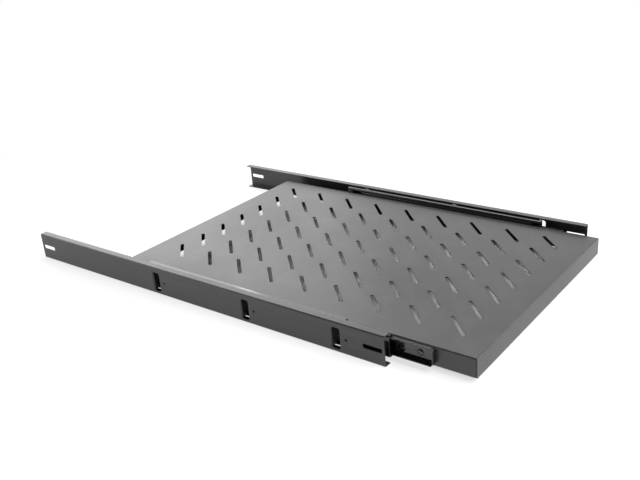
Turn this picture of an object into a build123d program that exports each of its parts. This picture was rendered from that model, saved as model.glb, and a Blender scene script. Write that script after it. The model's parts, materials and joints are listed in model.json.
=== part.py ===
from build123d import *
import os

os.makedirs("parts", exist_ok=True)

# Sliding rack shelf: a vented, folded steel tray between two channel rails.
# The tray is carried on each side by a three-section ball bearing slide.
# Millimetres, +Z up, front of the shelf towards -Y, the rails stand on z = 0.
# Every piece of the left side is drawn once and mirrored for the right side.

# Rails
rail_length = 750.0
rail_span = 478.0
rail_height = 47.0
rail_flange = 12.7
rail_sheet = 1.5
rail_bend = 1.0

# Long slots near both rail ends, for the rack's own bolts
mount_slot_length = 31.0
mount_slot_width = 7.0
mount_slot_inset = 19.5

# Windows lanced in the rail, each with its lug bent inwards
window_front = 80.0
window_middle = 248.0
window_to_slide_rear = 32.0
window_width = 14.4
window_height = 33.6
window_corner = 4.0
window_centre_height = 22.0
lug_height = 31.0
tongue_height = 12.0
tongue_clearance = 0.2
pilot_width = 3.4
pilot_height = 4.4
pilot_lead = 17.2

# Tray, with the room on each side for a slide and the rail's lugs
side_room = 26.0
tray_depth = 653.0
tray_top_height = 37.0
tray_flange = 28.5
tray_return = 10.0
tray_sheet = 1.5
tray_bend = 0.8
corner_gap = 0.5

# Vent slots punched through the tray
vent_columns = 7
vent_rows = 9
vent_margin_x = 57.6
vent_margin_y = 60.5
vent_offset_x = 4.4
vent_length = 56.0
vent_width = 6.0
vent_angle = 45.0

# Slides
slide_length = 400.0
slide_inset = 73.5
inner_set_back = 60.0
middle_play = 40.0
slide_thickness = 12.7
slide_axis_height = 23.0
member_sheet = 1.2
member_bend = 0.6
inner_height = 26.4
inner_flange = 8.1
lip_clearance = 0.3
outer_depth = 9.5
middle_reach = 1.7

# Balls and their cages
ball_diameter = 3.5
race_clearance = 0.1
race_depth = 0.4
outer_track = 4.8
inner_track = 7.3
cage_sheet = 0.5
cage_clearance = 0.3
cage_length = 120.0
cage_lead = 18.0
cage_rim = 0.6
ball_end_margin = 6.0

# Stops
bumper_length = 10.0
bumper_height = 30.0
bumper_depth = 8.0
bumper_round = 0.8
stop_tab_height = 20.0
stop_tab_lead = 3.0

# Fasteners between inner members and tray
screw_diameter = 4.0
screw_head_diameter = 8.0
screw_head_height = 2.2
screw_chamfer = 0.7
screw_socket = 2.2
screw_socket_depth = 1.2
screw_hole_clearance = 0.15
screw_front = 22.0
screw_count = 3
nut_width = 7.0
nut_height = 3.2
screw_end = 1.0
oblong_offset = 27.0
oblong_drop = 2.5
oblong_length = 9.0
oblong_width = 4.5

# Where the shelf stands at rest: the two rails are free of the rack, so each has its own extension
tray_set_back = 20.0
left_extension = 142.0
right_extension = 48.0

# Places that follow from the sizes
tray_width = rail_span - 2 * side_room
overall_depth = rail_length + left_extension - tray_set_back
tray_front = -overall_depth / 2
left_rail_front = tray_front + left_extension - tray_set_back
right_rail_front = tray_front + right_extension - tray_set_back
inner_front = tray_front + inner_set_back
inner_recess = inner_set_back + tray_set_back - slide_inset
inner_length = slide_length - bumper_length - lip_clearance - inner_recess
middle_length = slide_length - bumper_length - middle_play
cage_front = (slide_length - cage_length) / 2 - cage_lead
screw_spacing = (inner_length - 2 * screw_front) / (screw_count - 1)
window_places = (window_front, window_middle, slide_inset + slide_length - window_to_slide_rear)
vent_pitch_x = (tray_width - 2 * vent_margin_x) / (vent_columns - 1)
vent_pitch_y = (tray_depth - 2 * vent_margin_y) / (vent_rows - 1)
rail_outside = -rail_span / 2
slide_back = -tray_width / 2 - slide_thickness

# Heights of the three members, stacked from the inner one outwards
race_gap = ball_diameter + 2 * race_clearance - 2 * race_depth
middle_height = inner_height + 2 * (race_gap + member_sheet)
outer_height = middle_height + 2 * (race_gap + member_sheet)
middle_inside = middle_height / 2 - member_sheet
outer_inside = outer_height / 2 - member_sheet
outer_ball_height = (outer_inside + middle_height / 2) / 2
inner_ball_height = (middle_inside + inner_height / 2) / 2

# Depths across the slide, from the back of the outer member
cage_space = cage_sheet + 2 * cage_clearance
middle_back = member_sheet + cage_space
middle_front = slide_thickness - middle_reach
inner_web = slide_thickness - member_sheet


def section_plane(y):
    """Plane across the rails at y, with X to the right and Z up."""
    return Plane.XZ.offset(-y)


def rail(front):
    """Left rail: a channel open inwards, with mounting slots, windows and lugs."""
    with BuildPart() as channel:
        with BuildSketch(section_plane(front + rail_length)):
            with BuildLine():
                FilletPolyline(
                    (rail_outside + rail_flange, rail_height),
                    (rail_outside, rail_height),
                    (rail_outside, 0),
                    (rail_outside + rail_flange, 0),
                    radius=rail_bend + rail_sheet,
                )
                offset(amount=rail_sheet, side=Side.LEFT)
            make_face()
        extrude(amount=rail_length)

        with BuildSketch(Plane.YZ.offset(rail_outside)):
            for place in (mount_slot_inset, rail_length - mount_slot_inset):
                with Locations((front + place, rail_height / 2)):
                    SlotOverall(mount_slot_length, mount_slot_width)
            for place in window_places:
                with Locations((front + place, window_centre_height)):
                    RectangleRounded(window_width, window_height, window_corner)
                with Locations((front + place + window_width / 2, window_centre_height)):
                    Rectangle(2 * (rail_bend + rail_sheet), lug_height)
                with Locations((front + place - pilot_lead, rail_height / 2)):
                    SlotOverall(pilot_height, pilot_width, rotation=90)
        extrude(amount=rail_sheet, mode=Mode.SUBTRACT)

        bend = rail_bend + rail_sheet
        for place in window_places:
            lug_front = front + place + window_width / 2
            with BuildSketch(Plane.XY.offset(window_centre_height - lug_height / 2)):
                with BuildLine():
                    FilletPolyline(
                        (rail_outside, lug_front + 2 * bend),
                        (rail_outside, lug_front),
                        (slide_back, lug_front),
                        radius=bend,
                    )
                    offset(amount=rail_sheet, side=Side.LEFT)
                make_face()
            extrude(amount=lug_height)
            with Locations((slide_back, lug_front, window_centre_height)):
                Box(member_sheet, rail_sheet, tongue_height, align=(Align.MIN, Align.MIN, Align.CENTER))
    return channel


def lipped_section(back, face, height, lip_end):
    """Section of a member whose two flanges end in lips turned to the middle."""
    with BuildSketch() as section:
        with BuildLine():
            FilletPolyline(
                (slide_back + face, slide_axis_height + lip_end),
                (slide_back + face, slide_axis_height + height / 2),
                (slide_back + back, slide_axis_height + height / 2),
                (slide_back + back, slide_axis_height - height / 2),
                (slide_back + face, slide_axis_height - height / 2),
                (slide_back + face, slide_axis_height - lip_end),
                radius=member_bend + member_sheet,
            )
            offset(amount=member_sheet, side=Side.LEFT)
        make_face()
    return section.sketch


def races(track, ball_height):
    """Two round grooves, above and below the slide's axis, where the balls roll."""
    with Locations(
        (slide_back + track, slide_axis_height + ball_height),
        (slide_back + track, slide_axis_height - ball_height),
    ):
        Circle(ball_diameter / 2 + race_clearance, mode=Mode.SUBTRACT)


def outer_member(front):
    """Widest member, held by the tongues of the rail's lugs."""
    with BuildPart() as member:
        with BuildSketch(section_plane(front + slide_length)):
            add(lipped_section(0, outer_depth, outer_height, middle_height / 2 + lip_clearance))
            races(outer_track, outer_ball_height)
        extrude(amount=slide_length)
        with BuildSketch(Plane.YZ.offset(slide_back)):
            for place in window_places:
                lug_middle = front - slide_inset + place + window_width / 2 + rail_sheet / 2
                with Locations((lug_middle, window_centre_height)):
                    Rectangle(rail_sheet + 2 * tongue_clearance, tongue_height + 2 * tongue_clearance)
        extrude(amount=member_sheet, mode=Mode.SUBTRACT)
    return member


def middle_member(front):
    """Member between the two others: balls run on the outside and the inside of its flanges."""
    with BuildPart() as member:
        with BuildSketch(section_plane(front + middle_length)):
            add(lipped_section(middle_back, middle_front, middle_height, inner_height / 2 + lip_clearance))
            races(outer_track, outer_ball_height)
            races(inner_track, inner_ball_height)
        extrude(amount=middle_length)
    return member


def inner_member(front):
    """Member screwed to the tray's side: a plain channel open outwards with a stop tab in front."""
    tip = slide_back + slide_thickness - inner_flange
    back = slide_back + slide_thickness
    with BuildPart() as member:
        with BuildSketch(section_plane(front + inner_length)):
            with BuildLine():
                FilletPolyline(
                    (tip, slide_axis_height + inner_height / 2),
                    (back, slide_axis_height + inner_height / 2),
                    (back, slide_axis_height - inner_height / 2),
                    (tip, slide_axis_height - inner_height / 2),
                    radius=member_bend + member_sheet,
                )
                offset(amount=member_sheet, side=Side.RIGHT)
            make_face()
            races(inner_track, inner_ball_height)
        extrude(amount=inner_length - stop_tab_lead)

        with BuildSketch(Plane.XY.offset(slide_axis_height - stop_tab_height / 2)):
            with BuildLine():
                FilletPolyline(
                    (back, front + 2 * stop_tab_lead),
                    (back, front),
                    (tip, front),
                    radius=member_bend + member_sheet,
                )
                offset(amount=member_sheet, side=Side.RIGHT)
            make_face()
        extrude(amount=stop_tab_height)

        with BuildSketch(Plane.YZ.offset(slide_back + inner_web)):
            for place in screw_places(front):
                with Locations((place, slide_axis_height)):
                    Circle(screw_diameter / 2 + screw_hole_clearance)
            for place in oblong_places(front):
                with Locations((place, slide_axis_height - oblong_drop)):
                    SlotOverall(oblong_length, oblong_width)
        extrude(amount=member_sheet, mode=Mode.SUBTRACT)
    return member


def screw_places(front):
    """Y of each screw along an inner member."""
    return [front + screw_front + index * screw_spacing for index in range(screw_count)]


def oblong_places(front):
    """Y of the spare oblong holes, one behind each screw that leaves room for it."""
    places = [place + oblong_offset for place in screw_places(front)]
    return [place for place in places if place + oblong_length < front + inner_length]


def ball_places(front):
    """Y of the balls that carry one row, one near each end of the cage."""
    return [front + ball_end_margin, front + cage_length - ball_end_margin]


def ball_cage(front, web, track, ball_height):
    """Thin channel that keeps the balls of one stage apart, with a hole for each ball."""
    web_outside = slide_back + web
    tip = slide_back + track + ball_diameter / 2 + race_clearance + cage_rim
    half = ball_height + cage_sheet / 2
    with BuildPart() as cage:
        with BuildSketch(section_plane(front + cage_length)):
            with BuildLine():
                FilletPolyline(
                    (tip, slide_axis_height + half),
                    (web_outside, slide_axis_height + half),
                    (web_outside, slide_axis_height - half),
                    (tip, slide_axis_height - half),
                    radius=2 * cage_sheet,
                )
                offset(amount=cage_sheet, side=Side.LEFT)
            make_face()
        extrude(amount=cage_length)
        with BuildSketch(Plane.XY.offset(slide_axis_height)):
            with Locations(*[(slide_back + track, place) for place in ball_places(front)]):
                Circle(ball_diameter / 2 + race_clearance)
        extrude(amount=outer_height / 2, both=True, mode=Mode.SUBTRACT)
    return cage


def ball_rows(front, track, ball_height):
    """Steel balls of one stage, above and below the slide's axis."""
    with BuildPart() as balls:
        for height in (slide_axis_height + ball_height, slide_axis_height - ball_height):
            with Locations(*[(slide_back + track, place, height) for place in ball_places(front)]):
                Sphere(ball_diameter / 2)
    return balls


def bumper(outer_front):
    """Plastic block in the rear end of the outer member, where the closing inner member stops."""
    with BuildPart() as block:
        with Locations((slide_back + member_sheet, outer_front + slide_length, slide_axis_height)):
            Box(bumper_depth, bumper_length, bumper_height, align=(Align.MIN, Align.MAX, Align.CENTER))
        fillet(block.edges().filter_by(Axis.X), bumper_round)
    return block


def screws():
    """Pan head screws that pass through the inner member and the tray's side."""
    shank = member_sheet + tray_sheet + nut_height + screw_end
    head_seat = slide_back + inner_web
    with BuildPart() as group:
        for place in screw_places(inner_front):
            with BuildSketch(Plane.YZ.offset(head_seat)):
                with Locations((place, slide_axis_height)):
                    Circle(screw_head_diameter / 2)
            extrude(amount=-screw_head_height)
            with BuildSketch(Plane.YZ.offset(head_seat)):
                with Locations((place, slide_axis_height)):
                    Circle(screw_diameter / 2)
            extrude(amount=shank)
        crowns = group.faces().sort_by(Axis.X)[:screw_count]
        chamfer(crowns.edges(), screw_chamfer)
        for place in screw_places(inner_front):
            with BuildSketch(Plane.YZ.offset(head_seat - screw_head_height)):
                with Locations((place, slide_axis_height)):
                    RegularPolygon(screw_socket / 2, 6, major_radius=False)
            extrude(amount=screw_socket_depth, mode=Mode.SUBTRACT)
    return group


def nuts():
    """Hexagon nuts inside the tray's side, one on each screw."""
    seat = -tray_width / 2 + tray_sheet
    with BuildPart() as group:
        for place in screw_places(inner_front):
            with BuildSketch(Plane.YZ.offset(seat)):
                with Locations((place, slide_axis_height)):
                    RegularPolygon(nut_width / 2, 6, major_radius=False)
                    Circle(screw_diameter / 2, mode=Mode.SUBTRACT)
            extrude(amount=nut_height)
    return group


def shelf_tray():
    """Folded tray with flanges on four sides and slanted vent slots."""
    middle_y = tray_front + tray_depth / 2
    bottom = tray_top_height - tray_flange
    bend = tray_bend + tray_sheet
    with BuildPart() as tray:
        with Locations((0, middle_y, bottom)):
            Box(tray_width, tray_depth, tray_flange, align=(Align.CENTER, Align.CENTER, Align.MIN))
        fillet(tray.faces().sort_by(Axis.Z)[-1].edges(), bend)
        offset(amount=-tray_sheet, openings=tray.faces().sort_by(Axis.Z)[0])

        with Locations(
            (0, tray_front + tray_sheet, bottom),
            (0, tray_front + tray_depth - tray_sheet - tray_return, bottom),
        ):
            Box(
                tray_width - 2 * (tray_sheet + corner_gap),
                tray_return,
                tray_sheet,
                align=(Align.CENTER, Align.MIN, Align.MIN),
            )

        gap_middle = tray_depth / 2 - tray_sheet - corner_gap / 2
        with Locations((0, middle_y, bottom)):
            with GridLocations(tray_width - tray_sheet, 2 * gap_middle, 2, 2):
                Box(
                    tray_sheet,
                    corner_gap,
                    tray_flange - bend,
                    align=(Align.CENTER, Align.CENTER, Align.MIN),
                    mode=Mode.SUBTRACT,
                )

        with BuildSketch(Plane.XY.offset(tray_top_height)):
            with Locations((vent_offset_x, middle_y)):
                with GridLocations(vent_pitch_x, vent_pitch_y, vent_columns, vent_rows):
                    SlotOverall(vent_length, vent_width, rotation=vent_angle)
        extrude(amount=-tray_sheet, mode=Mode.SUBTRACT)

        with BuildSketch(Plane.YZ.offset(-tray_width / 2)):
            with Locations(*[(place, slide_axis_height) for place in screw_places(inner_front)]):
                Circle(screw_diameter / 2 + screw_hole_clearance)
        extrude(amount=tray_width, mode=Mode.SUBTRACT)
    return tray


def save(piece, name):
    """Label a finished piece and write it under its own name."""
    piece.part.label = name
    export_step(piece.part, "parts/" + name + ".step")


def mirrored(piece):
    """Right-hand copy of a left-hand piece."""
    with BuildPart() as copy:
        mirror(piece.part, about=Plane.YZ)
    return copy


def slide_pieces(rail_front, extension, play):
    """All pieces of the left rail and its slide, drawn out by the given extension.

    The middle member is the shorter one and floats: play is how far back it stands.
    """
    outer_front = rail_front + slide_inset
    middle_member_front = outer_front + play - extension / 2
    outer_cage_front = outer_front + cage_front + play / 2 - extension / 4
    inner_cage_front = outer_front + cage_front + play / 2 - 3 * extension / 4
    outer_web = member_sheet + cage_clearance
    inner_web_place = middle_back + member_sheet + cage_clearance
    return {
        "rail": rail(rail_front),
        "outer_member": outer_member(outer_front),
        "middle_member": middle_member(middle_member_front),
        "inner_member": inner_member(inner_front),
        "rear_bumper": bumper(outer_front),
        "outer_ball_cage": ball_cage(outer_cage_front, outer_web, outer_track, outer_ball_height),
        "outer_balls": ball_rows(outer_cage_front, outer_track, outer_ball_height),
        "inner_ball_cage": ball_cage(inner_cage_front, inner_web_place, inner_track, inner_ball_height),
        "inner_balls": ball_rows(inner_cage_front, inner_track, inner_ball_height),
        "slide_screws": screws(),
        "slide_nuts": nuts(),
    }


for name, piece in slide_pieces(left_rail_front, left_extension, 0).items():
    save(piece, "left_" + name)
for name, piece in slide_pieces(right_rail_front, right_extension, middle_play).items():
    save(mirrored(piece), "right_" + name)
save(shelf_tray(), "shelf_tray")
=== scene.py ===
import json
import math

import bmesh
import bpy
from mathutils import Matrix, Quaternion, Vector


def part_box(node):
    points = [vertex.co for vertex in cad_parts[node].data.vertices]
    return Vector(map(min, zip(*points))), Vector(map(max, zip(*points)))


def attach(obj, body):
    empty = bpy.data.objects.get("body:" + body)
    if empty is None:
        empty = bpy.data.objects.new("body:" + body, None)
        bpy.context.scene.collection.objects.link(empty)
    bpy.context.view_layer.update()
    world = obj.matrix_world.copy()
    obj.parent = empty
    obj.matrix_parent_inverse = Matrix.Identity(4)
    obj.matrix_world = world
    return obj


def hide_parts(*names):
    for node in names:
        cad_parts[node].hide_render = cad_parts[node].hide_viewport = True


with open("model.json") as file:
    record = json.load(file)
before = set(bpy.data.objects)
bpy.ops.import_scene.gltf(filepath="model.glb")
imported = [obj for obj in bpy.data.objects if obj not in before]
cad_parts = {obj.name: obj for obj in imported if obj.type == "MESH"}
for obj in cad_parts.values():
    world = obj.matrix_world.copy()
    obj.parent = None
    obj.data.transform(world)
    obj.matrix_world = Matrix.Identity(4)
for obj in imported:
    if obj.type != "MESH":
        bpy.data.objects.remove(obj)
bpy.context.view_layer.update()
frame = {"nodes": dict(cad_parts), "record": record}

bl_info = {
    "name": "Sliding Rack Shelf Looks",
    "version": (1, 0, 0),
    "blender": (4, 5, 0),
    "location": "View3D > Sidebar > Rack Shelf",
    "description": "Finishes, fastener details and studio for the sliding rack shelf",
    "category": "Object",
}

MM = 0.001
SIDES = ("left", "right")

# The photograph's camera, in the shelf's own frame
CAMERA_PLACE = (-1.0073, -0.8401, 0.5938)
CAMERA_DIRECTION = (0.7145, 0.5762, -0.3968)
CAMERA_ROLL = math.radians(4.71)
CAMERA_LENS = 45.93
CAMERA_SENSOR = 36.0

# Screws and nuts, in millimetres: profiles are pairs of place along the axis and radius.
# The head radius is the CAD's, which sets the screws' places; the drawn heads are wider.
SCREW_HEAD_RADIUS = 4.0
SCREW_SOCKET_DEPTH = 1.2
SCREW_SOCKET_RIM = 1.32
SCREW_PROFILE = (
    # Socket, then the domed head from its rim to its flange
    (1.2, 0.0), (1.2, 1.27), (0.1, 1.27), (0.0, 1.5), (0.02, 2.2), (0.2, 2.95), (0.55, 3.6),
    (1.0, 4.1), (1.5, 4.55), (2.05, 4.8), (2.2, 4.75), (2.2, 1.98),
    # Shank, with a groove and a chamfered end
    (8.2, 1.98), (8.35, 1.75), (8.5, 1.75), (8.65, 1.96), (8.8, 1.7), (9.1, 1.4), (9.1, 0.0),
)
NUT_HALF_WIDTH = 3.5
NUT_CORNER_RADIUS = NUT_HALF_WIDTH / math.cos(math.radians(30))
NUT_PROFILE = (
    (0.0, 2.3), (0.0, 3.4), (0.4, 4.05), (2.8, 4.05), (3.2, 3.4), (3.2, 2.3), (2.9, 2.01),
    (0.3, 2.01), (0.0, 2.3),
)

# Bumpers, in millimetres: round of the block's edges, and the grooves across its rear
BUMPER_ROUND = 0.7
BUMPER_BANDS = 9
GROOVE_MARGIN = 0.5
GROOVE_DEPTH = 1.2

# Meshes taken from the CAD, in metres and degrees: points this close are one, and faces this
# flat are joined. Bends below the sharp angle are smooth, edges above the eased one rounded.
WELD_DISTANCE = 0.5e-6
FLAT_ANGLE = 0.5
SHARP_ANGLE = 35
EASED_ANGLE = 40

# Mounting slots: power of their rounded corners, and in millimetres how far from a slot's
# round end and from the rail's outer face its points are looked for
SLOT_SQUARENESS = 8
SLOT_MARGIN = 0.1
WEB_DEPTH = 2.0

# Finishes: refractive indices of the coats, scale of the fine grains, colour of dust, and the
# span that a noise value mostly stays in
POWDER_IOR = 1.56
SLIDE_IOR = 1.65
METAL_GRAIN = 2500.0
PLASTIC_GRAIN = 3500.0
DUST_COLOR = (0.45, 0.44, 0.42)
NOISE_SPAN = (0.3, 0.7)

# Floor, in metres: distances from its middle between which it turns to plain white paper, and
# how far inside or outside the tray's box the painted light starts that lifts the shelf's shadow
PAPER_STARTS, PAPER_FULL = 0.55, 1.1
TRAY_INSET = 0.025
TRAY_MARGIN_RIGHT = 0.03
TRAY_FADE = 0.02

# World: heights of a view's direction between which the horizon fades to the ceiling
HORIZON_BAND = (0.03, 0.16)

# Lamps: name, place, point it aims at, width, height and the value that holds its power
LAMPS = (
    ("key_lamp", (0.1, -1.9, 2.3), (0.0, -0.15, 0.0), 2.0, 1.4, "key_power"),
    ("back_lamp", (1.11, 3.21, 1.35), (0.0, 0.0, 0.1), 3.0, 2.0, "back_power"),
    ("corner_lamp", (2.47, 2.19, 1.35), (0.0, 0.0, 0.1), 0.7, 2.0, "corner_power"),
    ("side_lamp", (2.91, 1.06, 0.95), (0.0, 0.0, 0.1), 1.8, 1.2, "side_power"),
    ("high_lamp", (2.5, 1.15, 2.8), (0.0, 0.0, 0.1), 2.4, 0.9, "high_power"),
    ("left_lamp", (-1.6, 2.2, 0.9), (0.0, 0.0, 0.0), 2.0, 1.2, "left_power"),
    ("front_lamp", (1.7, -2.3, 1.1), (0.0, -0.4, 0.0), 2.6, 1.4, "front_power"),
)

BODIES = frame["record"]["behaviour"]["bodies"]
BODY_OF = {node: body for body, nodes in BODIES.items() for node in nodes}
SLOT_OF = {part["node"]: part["material_slot"] for part in frame["record"]["subparts"]}


class RackShelfFinish(bpy.types.PropertyGroup):
    """Colours and surface values of the shelf's finishes"""

    powder_color: bpy.props.FloatVectorProperty(
        name="Powder Coat", description="Colour of the tray and rails", subtype="COLOR",
        size=3, min=0.0, max=1.0, default=(0.018, 0.018, 0.019),
    )
    powder_roughness: bpy.props.FloatProperty(
        name="Powder Roughness", description="Roughness of the satin powder coat",
        min=0.0, max=1.0, default=0.33,
    )
    grain_size: bpy.props.FloatProperty(
        name="Grain Size", description="Width of one bump in the powder coat",
        unit="LENGTH", min=0.0001, default=0.0016,
    )
    slide_color: bpy.props.FloatVectorProperty(
        name="Slide Coat", description="Colour of the slide members", subtype="COLOR",
        size=3, min=0.0, max=1.0, default=(0.005, 0.005, 0.006),
    )
    slide_roughness: bpy.props.FloatProperty(
        name="Slide Roughness", description="Roughness of the glossy slide coat",
        min=0.0, max=1.0, default=0.06,
    )
    zinc_color: bpy.props.FloatVectorProperty(
        name="Zinc", description="Colour of the plated cages and nuts", subtype="COLOR",
        size=3, min=0.0, max=1.0, default=(0.60, 0.60, 0.57),
    )
    ball_color: bpy.props.FloatVectorProperty(
        name="Ball Steel", description="Colour of the polished balls", subtype="COLOR",
        size=3, min=0.0, max=1.0, default=(0.78, 0.78, 0.80),
    )
    screw_color: bpy.props.FloatVectorProperty(
        name="Black Zinc", description="Colour of the black plated screws", subtype="COLOR",
        size=3, min=0.0, max=1.0, default=(0.1, 0.1, 0.103),
    )
    plastic_color: bpy.props.FloatVectorProperty(
        name="Bumper Plastic", description="Colour of the moulded bumpers", subtype="COLOR",
        size=3, min=0.0, max=1.0, default=(0.03, 0.03, 0.03),
    )


class RackShelfDetail(bpy.types.PropertyGroup):
    """Sizes of the small details that the looks add"""

    sheet_edge: bpy.props.FloatProperty(
        name="Sheet Edge",
        description="Width of the worn round on each cut edge of the sheet metal",
        unit="LENGTH", min=0.0, default=0.00012,
    )
    slide_edge: bpy.props.FloatProperty(
        name="Slide Edge",
        description="Width of the round on each cut edge of the slide members",
        unit="LENGTH", min=0.0, default=0.0002,
    )
    ball_rows: bpy.props.IntProperty(
        name="Balls in a Row",
        description="Balls in each row of a cage, spread over the row's length",
        min=2, default=14,
    )
    turned_steps: bpy.props.IntProperty(
        name="Turned Steps", description="Faces round a screw or a nut, a multiple of six",
        min=12, default=24,
    )


class RackShelfStage(bpy.types.PropertyGroup):
    """Floor, lamps and world"""

    floor_color: bpy.props.FloatVectorProperty(
        name="Floor", description="Colour of the floor", subtype="COLOR",
        size=3, min=0.0, max=1.0, default=(0.95, 0.95, 0.95),
    )
    # Painted light: white emission round the tray, seen by camera and glossy rays, lifts the
    # shelf's shadow there
    painted_light_share: bpy.props.FloatProperty(
        name="Painted Light Share", description="Share of plain white in the floor round the shelf",
        min=0.0, max=1.0, default=0.7,
    )
    floor_size: bpy.props.FloatProperty(
        name="Floor Size", description="Side of the floor", unit="LENGTH", min=1.0, default=30.0,
    )
    key_power: bpy.props.FloatProperty(
        name="Key Lamp", description="Power of the large lamp above the shelf", unit="POWER",
        min=0.0, default=116.0,
    )
    back_power: bpy.props.FloatProperty(
        name="Back Lamp", description="Power of the wide lamp behind the shelf", unit="POWER",
        min=0.0, default=59.0,
    )
    corner_power: bpy.props.FloatProperty(
        name="Corner Lamp", description="Power of the narrow lamp at the shelf's right rear",
        unit="POWER", min=0.0, default=9.5,
    )
    side_power: bpy.props.FloatProperty(
        name="Side Lamp", description="Power of the lamp at the shelf's right", unit="POWER",
        min=0.0, default=10.5,
    )
    high_power: bpy.props.FloatProperty(
        name="High Lamp", description="Power of the high lamp at the shelf's right", unit="POWER",
        min=0.0, default=31.0,
    )
    left_power: bpy.props.FloatProperty(
        name="Left Lamp", description="Power of the weak lamp at the shelf's left rear",
        unit="POWER", min=0.0, default=20.0,
    )
    front_power: bpy.props.FloatProperty(
        name="Front Lamp", description="Power of the low lamp at the shelf's front right",
        unit="POWER", min=0.0, default=46.0,
    )
    horizon_strength: bpy.props.FloatProperty(
        name="Horizon", description="Strength of the pale band at the horizon",
        min=0.0, default=1.0,
    )
    ceiling_strength: bpy.props.FloatProperty(
        name="Ceiling", description="Strength of the dim room above the horizon",
        min=0.0, default=0.06,
    )


def link(obj):
    """Put an object in the scene."""
    bpy.context.scene.collection.objects.link(obj)
    return obj


def mesh_object(name, mesh_bm):
    """Turn a finished bmesh into an object in the scene."""
    mesh = bpy.data.meshes.new(name)
    mesh_bm.to_mesh(mesh)
    mesh_bm.free()
    return link(bpy.data.objects.new(name, mesh))


def effect_group(name, inputs, outputs):
    """New shader node group with named sockets: returns it with its input and output nodes."""
    group = bpy.data.node_groups.new(name, "ShaderNodeTree")
    for socket_name, default in inputs:
        socket = group.interface.new_socket(
            socket_name, in_out="INPUT", socket_type="NodeSocketFloat"
        )
        socket.default_value = default
    for socket_name, socket_type in outputs:
        group.interface.new_socket(socket_name, in_out="OUTPUT", socket_type=socket_type)
    return group, group.nodes.new("NodeGroupInput"), group.nodes.new("NodeGroupOutput")


def noise(nodes, links, vector, scale_socket, detail=2.0, scale=1.0):
    """Noise texture on a vector, its scale taken from a socket or a number."""
    node = nodes.new("ShaderNodeTexNoise")
    node.inputs["Detail"].default_value = detail
    node.inputs["Scale"].default_value = scale
    links.new(vector, node.inputs["Vector"])
    if scale_socket is not None:
        links.new(scale_socket, node.inputs["Scale"])
    return node


def math_node(nodes, links, operation, *values):
    """Math node: each value is a socket or a number."""
    node = nodes.new("ShaderNodeMath")
    node.operation = operation
    for index, value in enumerate(values):
        if isinstance(value, bpy.types.NodeSocket):
            links.new(value, node.inputs[index])
        else:
            node.inputs[index].default_value = value
    return node.outputs[0]


def ramp(nodes, links, value, low, high, to_low, to_high):
    """Map a value from one span to another, held at the ends."""
    node = nodes.new("ShaderNodeMapRange")
    node.interpolation_type = "SMOOTHSTEP"
    links.new(value, node.inputs["Value"])
    limits = {"From Min": low, "From Max": high, "To Min": to_low, "To Max": to_high}
    for socket, number in limits.items():
        node.inputs[socket].default_value = number
    return node.outputs["Result"]


def coat_texture_group():
    """Fine orange peel of a sprayed or powdered coat, with a slow change in tone."""
    group, given, result = effect_group(
        "Coat Texture",
        (("Grain", 600.0), ("Depth", 1.0)),
        (("Height", "NodeSocketFloat"), ("Tone", "NodeSocketFloat")),
    )
    nodes, links = group.nodes, group.links
    place = nodes.new("ShaderNodeTexCoord").outputs["Object"]
    peel = noise(nodes, links, place, given.outputs["Grain"], detail=3.0)
    slow = noise(nodes, links, place, None, detail=2.0, scale=9.0)
    height = math_node(nodes, links, "MULTIPLY", peel.outputs["Fac"], given.outputs["Depth"])
    links.new(height, result.inputs["Height"])
    links.new(slow.outputs["Fac"], result.inputs["Tone"])
    return group


def dust_group():
    """A little pale dust that settles on surfaces facing up."""
    group, given, result = effect_group(
        "Settled Dust", (("Amount", 0.1),), (("Mask", "NodeSocketFloat"),)
    )
    nodes, links = group.nodes, group.links
    place = nodes.new("ShaderNodeTexCoord").outputs["Object"]
    normal = nodes.new("ShaderNodeSeparateXYZ")
    links.new(nodes.new("ShaderNodeNewGeometry").outputs["Normal"], normal.inputs[0])
    up = ramp(nodes, links, normal.outputs["Z"], 0.3, 0.95, 0.0, 1.0)
    cloud = noise(nodes, links, place, None, detail=4.0, scale=30.0)
    patch = ramp(nodes, links, cloud.outputs["Fac"], 0.42, 0.75, 0.2, 1.0)
    mask = math_node(nodes, links, "MULTIPLY", up, patch)
    amount = math_node(nodes, links, "MULTIPLY", mask, given.outputs["Amount"])
    links.new(amount, result.inputs["Mask"])
    return group


def forming_lines_group():
    """Long faint lines that roll forming leaves along a slide member."""
    group, given, result = effect_group(
        "Forming Lines",
        (("Depth", 1.0),),
        (("Height", "NodeSocketFloat"), ("Mask", "NodeSocketFloat")),
    )
    nodes, links = group.nodes, group.links
    place = nodes.new("ShaderNodeTexCoord").outputs["Object"]
    stretch = nodes.new("ShaderNodeMapping")
    stretch.inputs["Scale"].default_value = (900.0, 5.0, 900.0)
    links.new(place, stretch.inputs["Vector"])
    lines = noise(nodes, links, stretch.outputs["Vector"], None, detail=2.0, scale=1.0)
    height = math_node(nodes, links, "MULTIPLY", lines.outputs["Fac"], given.outputs["Depth"])
    links.new(height, result.inputs["Height"])
    links.new(lines.outputs["Fac"], result.inputs["Mask"])
    return group


def edge_group():
    """Mask of the outward edges, where the coat is thinnest."""
    group, given, result = effect_group(
        "Thin Edge", (("Amount", 0.5),), (("Mask", "NodeSocketFloat"),)
    )
    nodes, links = group.nodes, group.links
    point = nodes.new("ShaderNodeNewGeometry").outputs["Pointiness"]
    mask = ramp(nodes, links, point, 0.52, 0.6, 0.0, 1.0)
    amount = math_node(nodes, links, "MULTIPLY", mask, given.outputs["Amount"])
    links.new(amount, result.inputs["Mask"])
    return group


def place_group(tree, group, **values):
    """Put a shared effect in a material with its own values."""
    node = tree.nodes.new("ShaderNodeGroup")
    node.node_tree = group
    for name, value in values.items():
        node.inputs[name.replace("_", " ").title()].default_value = value
    return node


def new_material(name):
    """Empty material with one Principled shader."""
    material = bpy.data.materials.new(name)
    material.use_nodes = True
    shader = material.node_tree.nodes["Principled BSDF"]
    return material, material.node_tree, shader


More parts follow.
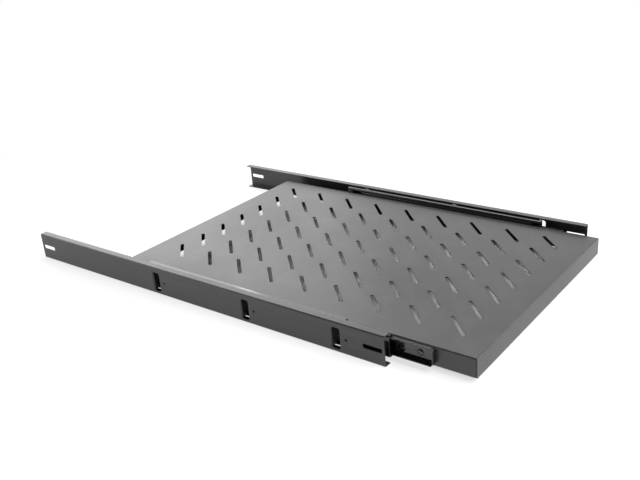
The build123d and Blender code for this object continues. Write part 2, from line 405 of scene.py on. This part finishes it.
def mix_color(tree, factor, first, second):
    """Mix two colours by a factor socket."""
    node = tree.nodes.new("ShaderNodeMix")
    node.data_type = "RGBA"
    tree.links.new(factor, node.inputs[0])
    node.inputs[6].default_value = (*first, 1.0)
    if isinstance(second, bpy.types.NodeSocket):
        tree.links.new(second, node.inputs[7])
    else:
        node.inputs[7].default_value = (*second, 1.0)
    return node


def bump(tree, shader, height, distance, strength):
    """Bump of a height socket into the shader's normal."""
    node = tree.nodes.new("ShaderNodeBump")
    node.inputs["Distance"].default_value = distance
    node.inputs["Strength"].default_value = strength
    tree.links.new(height, node.inputs["Height"])
    tree.links.new(node.outputs["Normal"], shader.inputs["Normal"])


def spread(tree, value, to_low=0.0, to_high=1.0):
    """Spread a noise value, which stays mostly in the middle of its range, over a span."""
    return ramp(tree.nodes, tree.links, value, *NOISE_SPAN, to_low, to_high)


def scaled(color, factor):
    """Colour times a number."""
    return tuple(min(1.0, channel * factor) for channel in color)


def powder_coat_material(groups, finish):
    """Satin black powder coat: orange peel, slow tone, thin edges and a trace of dust."""
    material, tree, shader = new_material("Powder Coat Black")
    shader.inputs["IOR"].default_value = POWDER_IOR
    coat = place_group(tree, groups["coat"], grain=1.0 / finish.grain_size, depth=1.0)
    edge = place_group(tree, groups["edge"], amount=0.25)
    dust = place_group(tree, groups["dust"], amount=0.02)
    tone = spread(tree, coat.outputs["Tone"])
    color = finish.powder_color
    base = mix_color(tree, tone, scaled(color, 0.92), scaled(color, 1.08))
    worn = mix_color(tree, edge.outputs["Mask"], (0, 0, 0), scaled(color, 2.6))
    tree.links.new(base.outputs[2], worn.inputs[6])
    dusty = mix_color(tree, dust.outputs["Mask"], (0, 0, 0), DUST_COLOR)
    tree.links.new(worn.outputs[2], dusty.inputs[6])
    tree.links.new(dusty.outputs[2], shader.inputs["Base Color"])
    roughness = finish.powder_roughness
    rough = spread(tree, coat.outputs["Tone"], roughness - 0.02, roughness + 0.03)
    tree.links.new(rough, shader.inputs["Roughness"])
    bump(tree, shader, coat.outputs["Height"], distance=0.00008, strength=0.35)
    return material


def slide_coat_material(groups, finish):
    """Glossy black electro-coat over roll formed steel."""
    material, tree, shader = new_material("Slide Coat Black")
    shader.inputs["IOR"].default_value = SLIDE_IOR
    lines = place_group(tree, groups["lines"], depth=1.0)
    edge = place_group(tree, groups["edge"], amount=0.5)
    color, roughness = finish.slide_color, finish.slide_roughness
    worn = mix_color(tree, edge.outputs["Mask"], color, scaled(color, 6.0))
    tree.links.new(worn.outputs[2], shader.inputs["Base Color"])
    rough = spread(tree, lines.outputs["Mask"], roughness, roughness + 0.08)
    tree.links.new(rough, shader.inputs["Roughness"])
    bump(tree, shader, lines.outputs["Height"], distance=0.00003, strength=0.3)
    return material


def metal_material(name, groups, color, roughness, lined=False):
    """Bare or plated metal, with forming lines on strip or a fine grain elsewhere."""
    material, tree, shader = new_material(name)
    shader.inputs["Metallic"].default_value = 1.0
    if lined:
        marks = place_group(tree, groups["lines"], depth=1.0)
        tone = marks.outputs["Mask"]
    else:
        marks = place_group(tree, groups["coat"], grain=METAL_GRAIN, depth=1.0)
        tone = marks.outputs["Tone"]
    base = mix_color(tree, spread(tree, tone), scaled(color, 0.86), color)
    tree.links.new(base.outputs[2], shader.inputs["Base Color"])
    rough = spread(tree, tone, roughness, roughness + 0.1)
    tree.links.new(rough, shader.inputs["Roughness"])
    bump(tree, shader, marks.outputs["Height"], distance=0.00002, strength=0.2)
    return material


def plastic_material(groups, finish):
    """Moulded plastic with a fine spark-eroded grain."""
    material, tree, shader = new_material("Bumper Plastic")
    coat = place_group(tree, groups["coat"], grain=PLASTIC_GRAIN, depth=1.0)
    tone, color = coat.outputs["Tone"], finish.plastic_color
    base = mix_color(tree, spread(tree, tone), color, scaled(color, 1.3))
    tree.links.new(base.outputs[2], shader.inputs["Base Color"])
    rough = spread(tree, tone, 0.5, 0.6)
    tree.links.new(rough, shader.inputs["Roughness"])
    bump(tree, shader, coat.outputs["Height"], distance=0.00003, strength=0.4)
    return material


def make_finishes():
    """All materials by record slot, made once."""
    finish = bpy.context.scene.rack_shelf_finish
    groups = {
        "coat": coat_texture_group(),
        "dust": dust_group(),
        "lines": forming_lines_group(),
        "edge": edge_group(),
    }
    zinc, steel, black = finish.zinc_color, finish.ball_color, finish.screw_color
    return {
        "powder_coat": powder_coat_material(groups, finish),
        "slide_black": slide_coat_material(groups, finish),
        "cage_steel": metal_material("Zinc Strip", groups, zinc, roughness=0.32, lined=True),
        "ball_steel": metal_material("Polished Ball Steel", groups, steel, roughness=0.07),
        "bumper_plastic": plastic_material(groups, finish),
        "fastener_black": metal_material("Black Zinc", groups, black, roughness=0.14),
        "fastener_zinc": metal_material("Nut Zinc", groups, zinc, roughness=0.3),
    }


def dress(obj, node):
    """Give an object the finish of a node's slot."""
    obj.data.materials.clear()
    obj.data.materials.append(FINISHES[SLOT_OF[node]])


def stand_for(obj, node):
    """Let a detailed piece take a node's place, body and finish."""
    dress(obj, node)
    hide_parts(node)
    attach(obj, BODY_OF[node])


def merged_node(node):
    """Merged bmesh copy of a node, its flat faces whole."""
    work = bmesh.new()
    work.from_mesh(frame["nodes"][node].data)
    bmesh.ops.remove_doubles(work, verts=work.verts, dist=WELD_DISTANCE)
    bmesh.ops.dissolve_limit(
        work, angle_limit=math.radians(FLAT_ANGLE), use_dissolve_boundaries=False,
        verts=work.verts, edges=work.edges, delimit=set(),
    )
    return work


def smooth_below(work, degrees):
    """Smooth shading with sharp edges above an angle."""
    for face in work.faces:
        face.smooth = True
    for edge in work.edges:
        edge.smooth = edge.calc_face_angle(0.0) < math.radians(degrees)


def eased(work, name, edge_width):
    """Object of a bmesh with its cut edges eased and its bends smooth."""
    smooth_below(work, SHARP_ANGLE)
    obj = mesh_object(name, work)
    if edge_width > 0:
        bevel = obj.modifiers.new("Eased Edges", "BEVEL")
        bevel.width = edge_width
        bevel.segments = 2
        bevel.limit_method = "ANGLE"
        bevel.angle_limit = math.radians(EASED_ANGLE)
        bevel.use_clamp_overlap = True
    even = obj.modifiers.new("Even Shading", "WEIGHTED_NORMAL")
    even.keep_sharp = True
    return obj


def square_slot_ends(work, mount):
    """Draw the round ends of a rail's mounting slots out into rounded corners, no longer."""
    middle = Vector(mount["pos_m"])
    radius = mount["dims"]["hole_r_mm"] * MM
    straight = mount["dims"]["slot_length_mm"] * MM / 2 - radius
    half_spacing = mount["dims"]["spacing_x_mm"] * MM / 2
    rim = radius + SLOT_MARGIN * MM
    for vert in work.verts:
        along = abs(vert.co.y - middle.y) - half_spacing
        beyond = abs(along) - straight
        up = vert.co.z - middle.z
        on_web = abs(vert.co.x - middle.x) < WEB_DEPTH * MM
        if on_web and abs(up) < rim and 0.0 < beyond < rim:
            # A rounded square of the same reach takes the place of the half circle
            powers = abs(beyond) ** SLOT_SQUARENESS + abs(up) ** SLOT_SQUARENESS
            growth = radius / powers ** (1 / SLOT_SQUARENESS)
            toward = math.copysign(1.0, along) * math.copysign(1.0, vert.co.y - middle.y)
            vert.co.y += toward * beyond * (growth - 1.0)
            vert.co.z = middle.z + up * growth


def turned(profile, steps):
    """Shape turned about X from a profile of (place along X, radius) in millimetres."""
    work = bmesh.new()
    verts = [work.verts.new((along * MM, 0.0, radius * MM)) for along, radius in profile]
    edges = [work.edges.new(pair) for pair in zip(verts, verts[1:])]
    bmesh.ops.spin(
        work, geom=verts + edges, cent=(0.0, 0.0, 0.0), axis=(1.0, 0.0, 0.0),
        angle=2.0 * math.pi, steps=steps, use_merge=True, use_duplicate=False,
    )
    bmesh.ops.remove_doubles(work, verts=work.verts, dist=1e-6)
    bmesh.ops.recalc_face_normals(work, faces=work.faces)
    return work


def repeated(single, places):
    """One bmesh with a copy of a single shape at each place, a matrix."""
    mesh = bpy.data.meshes.new("single_shape")
    single.to_mesh(mesh)
    single.free()
    work = bmesh.new()
    for place in places:
        copy = mesh.copy()
        copy.transform(place)
        work.from_mesh(copy)
        bpy.data.meshes.remove(copy)
    bpy.data.meshes.remove(mesh)
    return work


def row_places(node, half_width, outward):
    """Matrices for a node's three fasteners, whose shapes start at the side facing outward."""
    low, high = (Vector(corner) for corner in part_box(node))
    start_x = low.x if outward < 0 else high.x
    front, rear = low.y + half_width, high.y - half_width
    turn = Matrix.Rotation(0.0 if outward < 0 else math.pi, 4, "Z")
    return [
        Matrix.Translation((start_x, y, (low.z + high.z) / 2)) @ turn
        for y in (front, (front + rear) / 2, rear)
    ]


class RACKSHELF_OT_stage(bpy.types.Operator):
    """Floor, soft lamps, world and the photograph's camera"""

    bl_idname = "rack_shelf.stage"
    bl_label = "Studio"

    def execute(self, context):
        stage = context.scene.rack_shelf_stage
        self.make_floor(stage)
        self.make_lamps(stage)
        self.make_world(stage)
        self.make_camera()
        context.scene.view_settings.view_transform = "Standard"
        return {"FINISHED"}

    def make_floor(self, stage):
        work = bmesh.new()
        bmesh.ops.create_grid(work, x_segments=1, y_segments=1, size=stage.floor_size / 2)
        floor = mesh_object("studio_floor", work)
        material, tree, shader = new_material("Studio Floor")
        shader.inputs["Base Color"].default_value = (*stage.floor_color, 1.0)
        shader.inputs["Roughness"].default_value = 0.9
        # White emission: plain paper far off, and painted light round the tray that lifts its
        # shadow
        paper = tree.nodes.new("ShaderNodeEmission")
        paper.inputs["Color"].default_value = (1.0, 1.0, 1.0, 1.0)
        seen = tree.nodes.new("ShaderNodeLightPath")
        nodes, links = tree.nodes, tree.links
        share = seen.outputs["Is Camera Ray"]
        for ray in ("Is Glossy Ray", "Is Transmission Ray"):
            share = math_node(nodes, links, "MAXIMUM", share, seen.outputs[ray])
        white = self.white_share(tree, stage.painted_light_share)
        blend = nodes.new("ShaderNodeMixShader")
        tree.links.new(math_node(nodes, links, "MULTIPLY", share, white), blend.inputs[0])
        tree.links.new(shader.outputs[0], blend.inputs[1])
        tree.links.new(paper.outputs[0], blend.inputs[2])
        tree.links.new(blend.outputs[0], tree.nodes["Material Output"].inputs["Surface"])
        floor.data.materials.append(material)

    def white_share(self, tree, near_painted_light):
        """Share of white: none under the tray, painted light that lifts its shadow round it,
        paper further off.
        """
        nodes, links = tree.nodes, tree.links
        place = nodes.new("ShaderNodeTexCoord").outputs["Object"]
        reach = nodes.new("ShaderNodeVectorMath")
        reach.operation = "LENGTH"
        links.new(place, reach.inputs[0])
        distance = reach.outputs["Value"]
        away = ramp(nodes, links, distance, PAPER_STARTS, PAPER_FULL, 0.0, 1.0)
        low, high = (Vector(corner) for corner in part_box("shelf_tray"))
        low += Vector((TRAY_INSET, TRAY_INSET, 0.0))
        high += Vector((TRAY_MARGIN_RIGHT, -TRAY_INSET, 0.0))
        middle, half = (low + high) / 2, (high - low) / 2
        parts = nodes.new("ShaderNodeSeparateXYZ")
        links.new(place, parts.inputs[0])
        sides = []
        for axis in (0, 1):
            offset = math_node(nodes, links, "SUBTRACT", parts.outputs[axis], middle[axis])
            offset = math_node(nodes, links, "ABSOLUTE", offset)
            sides.append(math_node(nodes, links, "SUBTRACT", offset, half[axis]))
        beyond = math_node(nodes, links, "MAXIMUM", *sides)
        # Painted light: white round the tray's box, lifting the shelf's shadow on the floor there
        outside = ramp(nodes, links, beyond, 0.0, TRAY_FADE, 0.0, near_painted_light)
        return math_node(nodes, links, "MAXIMUM", away, outside)

    def lamp(self, name, place, aim, width, height, power):
        light = bpy.data.lights.new(name, "AREA")
        light.shape = "RECTANGLE"
        light.size = width
        light.size_y = height
        light.energy = power
        obj = link(bpy.data.objects.new(name, light))
        obj.location = place
        obj.rotation_mode = "QUATERNION"
        obj.rotation_quaternion = (Vector(aim) - Vector(place)).to_track_quat("-Z", "Y")
        obj.visible_camera = False

    def make_lamps(self, stage):
        for name, place, aim, width, height, power in LAMPS:
            self.lamp(name, place, aim, width, height, getattr(stage, power))

    def make_world(self, stage):
        world = bpy.data.worlds.new("Studio World")
        bpy.context.scene.world = world
        world.use_nodes = True
        tree = world.node_tree
        backdrop = tree.nodes["Background"]
        backdrop.inputs["Color"].default_value = (1.0, 1.0, 1.0, 1.0)
        direction = tree.nodes.new("ShaderNodeSeparateXYZ")
        place = tree.nodes.new("ShaderNodeTexCoord")
        tree.links.new(place.outputs["Generated"], direction.inputs[0])
        fade = ramp(
            tree.nodes, tree.links, direction.outputs["Z"], *HORIZON_BAND,
            stage.horizon_strength, stage.ceiling_strength,
        )
        tree.links.new(fade, backdrop.inputs["Strength"])

    def make_camera(self):
        data = bpy.data.cameras.new("photo_camera")
        data.sensor_width = CAMERA_SENSOR
        data.lens = CAMERA_LENS
        camera = link(bpy.data.objects.new("photo_camera", data))
        camera.location = CAMERA_PLACE
        camera.rotation_mode = "QUATERNION"
        level = Vector(CAMERA_DIRECTION).to_track_quat("-Z", "Y")
        camera.rotation_quaternion = level @ Quaternion((0.0, 0.0, 1.0), -CAMERA_ROLL)
        bpy.context.scene.camera = camera


class RACKSHELF_OT_sheet_metal(bpy.types.Operator):
    """Powder coated tray and rails with eased edges"""

    bl_idname = "rack_shelf.sheet_metal"
    bl_label = "Tray and Rails"

    def execute(self, context):
        edge = context.scene.rack_shelf_detail.sheet_edge
        mounts = {mount["name"]: mount for mount in frame["record"]["mounts"]}
        for node in ("shelf_tray", "left_rail", "right_rail"):
            work = merged_node(node)
            if node + "_slots" in mounts:
                square_slot_ends(work, mounts[node + "_slots"])
            stand_for(eased(work, node + "_coated", edge), node)
        return {"FINISHED"}


class RACKSHELF_OT_slides(bpy.types.Operator):
    """Black roll formed slide members"""

    bl_idname = "rack_shelf.slides"
    bl_label = "Slide Members"

    def execute(self, context):
        edge = context.scene.rack_shelf_detail.slide_edge
        for side in SIDES:
            for member in ("outer_member", "middle_member", "inner_member"):
                node = side + "_" + member
                stand_for(eased(merged_node(node), node + "_formed", edge), node)
        return {"FINISHED"}


class RACKSHELF_OT_ball_cages(bpy.types.Operator):
    """Ball cages with full rows of polished balls"""

    bl_idname = "rack_shelf.ball_cages"
    bl_label = "Balls and Cages"

    def execute(self, context):
        count = context.scene.rack_shelf_detail.ball_rows
        for side in SIDES:
            for stage in ("outer", "inner"):
                cage = side + "_" + stage + "_ball_cage"
                dress(frame["nodes"][cage], cage)
                balls = side + "_" + stage + "_balls"
                stand_for(self.ball_rows(balls, count), balls)
        return {"FINISHED"}

    def ball_rows(self, node, count):
        low, high = (Vector(corner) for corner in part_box(node))
        radius = (high.x - low.x) / 2
        front, rear = low.y + radius, high.y - radius
        single = bmesh.new()
        bmesh.ops.create_icosphere(single, subdivisions=2, radius=radius)
        middle, step = (low.x + high.x) / 2, (rear - front) / (count - 1)
        places = [
            Matrix.Translation((middle, front + step * index, z))
            for z in (low.z + radius, high.z - radius) for index in range(count)
        ]
        work = repeated(single, places)
        for face in work.faces:
            face.smooth = True
        return mesh_object(node + "_rows", work)


class RACKSHELF_OT_fasteners(bpy.types.Operator):
    """Domed screws with hexagon sockets, and chamfered hexagon nuts"""

    bl_idname = "rack_shelf.fasteners"
    bl_label = "Screws and Nuts"

    def execute(self, context):
        steps = context.scene.rack_shelf_detail.turned_steps
        for side, outward in (("left", -1), ("right", 1)):
            node = side + "_slide_screws"
            work = repeated(self.screw(steps), row_places(node, SCREW_HEAD_RADIUS * MM, outward))
            smooth_below(work, 40)
            stand_for(mesh_object(node + "_turned", work), node)
            node = side + "_slide_nuts"
            work = repeated(self.nut(steps), row_places(node, NUT_CORNER_RADIUS * MM, outward))
            smooth_below(work, 25)
            stand_for(mesh_object(node + "_turned", work), node)
        return {"FINISHED"}

    def screw(self, steps):
        work = turned(SCREW_PROFILE, steps)
        for vert in work.verts:
            radius = math.hypot(vert.co.y, vert.co.z)
            if vert.co.x <= SCREW_SOCKET_DEPTH * MM and 0.0 < radius < SCREW_SOCKET_RIM * MM:
                angle = math.atan2(vert.co.z, vert.co.y) % math.radians(60)
                reach = math.cos(math.radians(30)) / math.cos(angle - math.radians(30))
                vert.co.y *= reach
                vert.co.z *= reach
        return work

    def nut(self, steps):
        work = turned(NUT_PROFILE, steps)
        for index in range(6):
            angle = math.radians(60 * index + 90)
            normal = Vector((0.0, math.cos(angle), math.sin(angle)))
            cut = bmesh.ops.bisect_plane(
                work, geom=work.verts[:] + work.edges[:] + work.faces[:], dist=1e-7,
                plane_co=normal * NUT_HALF_WIDTH * MM, plane_no=normal,
                clear_outer=True, clear_inner=False,
            )
            rim = [item for item in cut["geom_cut"] if isinstance(item, bmesh.types.BMEdge)]
            bmesh.ops.holes_fill(work, edges=rim, sides=0)
        bmesh.ops.recalc_face_normals(work, faces=work.faces)
        return work


class RACKSHELF_OT_bumpers(bpy.types.Operator):
    """Moulded bumpers with grooves across their rear"""

    bl_idname = "rack_shelf.bumpers"
    bl_label = "Bumpers"

    def execute(self, context):
        for side in SIDES:
            node = side + "_rear_bumper"
            stand_for(self.bumper(node), node)
        return {"FINISHED"}

    def bumper(self, node):
        low, high = (Vector(corner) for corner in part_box(node))
        size = high - low
        work = bmesh.new()
        bmesh.ops.create_cube(work, size=1.0)
        bmesh.ops.scale(work, vec=size, verts=work.verts)
        bmesh.ops.translate(work, vec=(low + high) / 2, verts=work.verts)
        bmesh.ops.bevel(
            work, geom=work.edges[:], offset=BUMPER_ROUND * MM, offset_type="OFFSET",
            segments=3, profile=0.5, affect="EDGES", material=-1, clamp_overlap=True,
        )
        step = size.z / BUMPER_BANDS
        for index in range(1, BUMPER_BANDS):
            bmesh.ops.bisect_plane(
                work, geom=work.verts[:] + work.edges[:] + work.faces[:], dist=1e-7,
                plane_co=(0.0, 0.0, low.z + index * step), plane_no=(0.0, 0.0, 1.0),
                clear_outer=False, clear_inner=False,
            )
        # Every second band of the rear face is a groove
        grooves = [
            face for face in work.faces
            if face.normal.y > 0.99 and int((face.calc_center_median().z - low.z) / step) % 2
        ]
        bmesh.ops.inset_individual(
            work, faces=grooves, thickness=GROOVE_MARGIN * MM, depth=-GROOVE_DEPTH * MM
        )
        smooth_below(work, SHARP_ANGLE)
        return mesh_object(node + "_moulded", work)


class RACKSHELF_PT_panel(bpy.types.Panel):
    """Sidebar panel with the shelf's pieces and values"""

    bl_label = "Rack Shelf"
    bl_idname = "RACKSHELF_PT_panel"
    bl_space_type = "VIEW_3D"
    bl_region_type = "UI"
    bl_category = "Rack Shelf"

    def draw(self, context):
        layout = self.layout
        for operator in OPERATORS:
            layout.operator(operator.bl_idname)
        for group in ("rack_shelf_finish", "rack_shelf_detail", "rack_shelf_stage"):
            box = layout.box()
            values = getattr(context.scene, group)
            for name in values.bl_rna.properties.keys():
                if name not in ("rna_type", "name"):
                    box.prop(values, name)


OPERATORS = (
    RACKSHELF_OT_stage,
    RACKSHELF_OT_sheet_metal,
    RACKSHELF_OT_slides,
    RACKSHELF_OT_ball_cages,
    RACKSHELF_OT_fasteners,
    RACKSHELF_OT_bumpers,
)
GROUPS = (
    ("rack_shelf_finish", RackShelfFinish),
    ("rack_shelf_detail", RackShelfDetail),
    ("rack_shelf_stage", RackShelfStage),
)
FINISHES = {}


def register():
    for name, group in GROUPS:
        bpy.utils.register_class(group)
        setattr(bpy.types.Scene, name, bpy.props.PointerProperty(type=group))
    for operator in OPERATORS:
        bpy.utils.register_class(operator)
    bpy.utils.register_class(RACKSHELF_PT_panel)


def unregister():
    bpy.utils.unregister_class(RACKSHELF_PT_panel)
    for operator in reversed(OPERATORS):
        bpy.utils.unregister_class(operator)
    for name, group in reversed(GROUPS):
        delattr(bpy.types.Scene, name)
        bpy.utils.unregister_class(group)


def main():
    """Make the looks."""
    register()
    FINISHES.update(make_finishes())
    bpy.ops.rack_shelf.stage()
    bpy.ops.rack_shelf.sheet_metal()
    bpy.ops.rack_shelf.slides()
    bpy.ops.rack_shelf.ball_cages()
    bpy.ops.rack_shelf.fasteners()
    bpy.ops.rack_shelf.bumpers()


if __name__ == "__main__":
    main()
